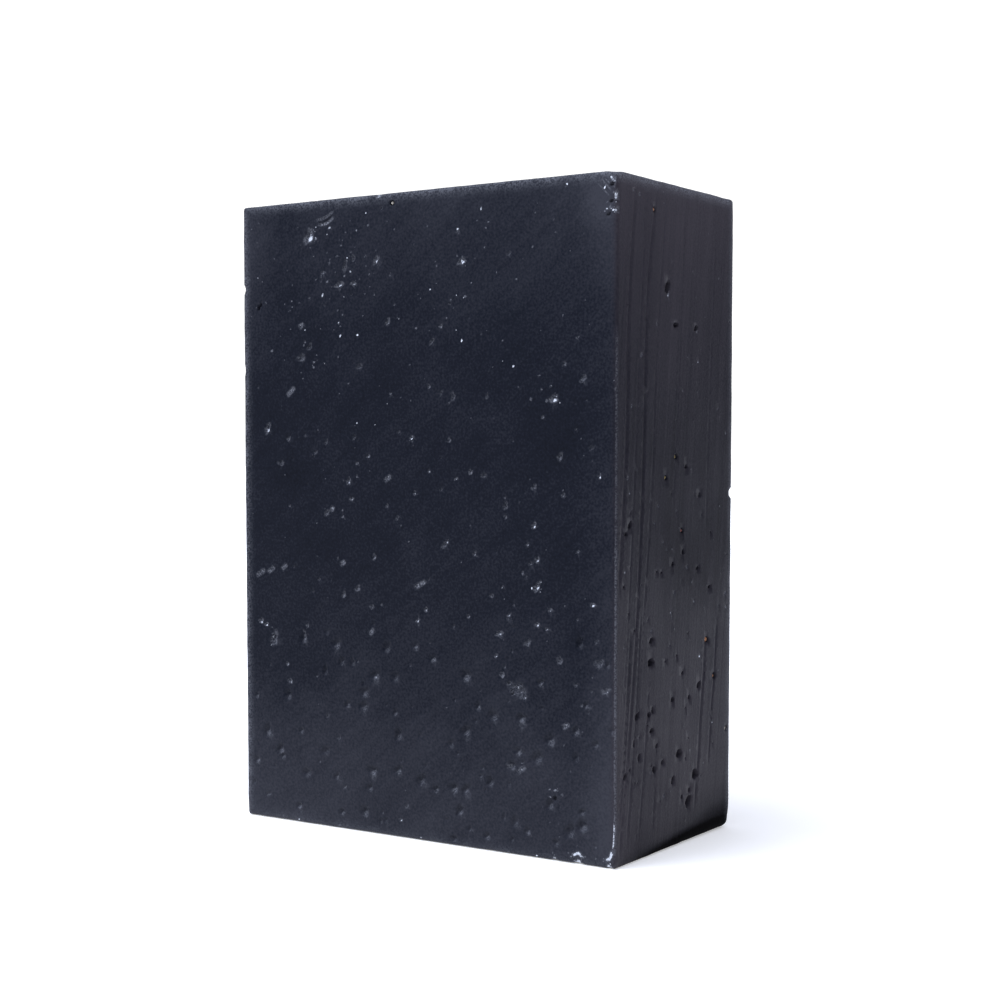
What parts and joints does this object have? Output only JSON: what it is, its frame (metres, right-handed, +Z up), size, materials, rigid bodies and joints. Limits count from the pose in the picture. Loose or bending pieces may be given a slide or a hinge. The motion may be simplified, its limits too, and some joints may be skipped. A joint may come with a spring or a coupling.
{
  "type": "charcoal block",
  "caption": "Short, thick rectangular charcoal block, cast and cut by hand, with open bubbles, drag lines and a few grit grains in its faces; it stands free on its short end.",
  "frame": {"origin": "centre of the base, the short end face that the block stands on", "axes": "+Z up along the block's length, +X across its width towards the narrow face with the drag lines, +Y through its thickness from the broad front face towards the broad back face"},
  "size_m": [0.063, 0.0324, 0.089],
  "materials": {
    "charcoal_matrix": "matte",
    "amber_grit": "satin",
    "yellow_grit": "satin",
    "red_grit": "satin",
    "pale_grit": "matte"
  },
  "bodies": {
    "root": {"charcoal_block": "charcoal_matrix", "amber_grain_upper": "amber_grit", "amber_grain_lower": "amber_grit", "amber_grain_top": "amber_grit", "yellow_grain_upper": "yellow_grit", "yellow_grain_lower": "yellow_grit", "red_grain": "red_grit", "pale_grain_back": "pale_grit", "pale_grain_front": "pale_grit"}
  },
  "joints": []
}
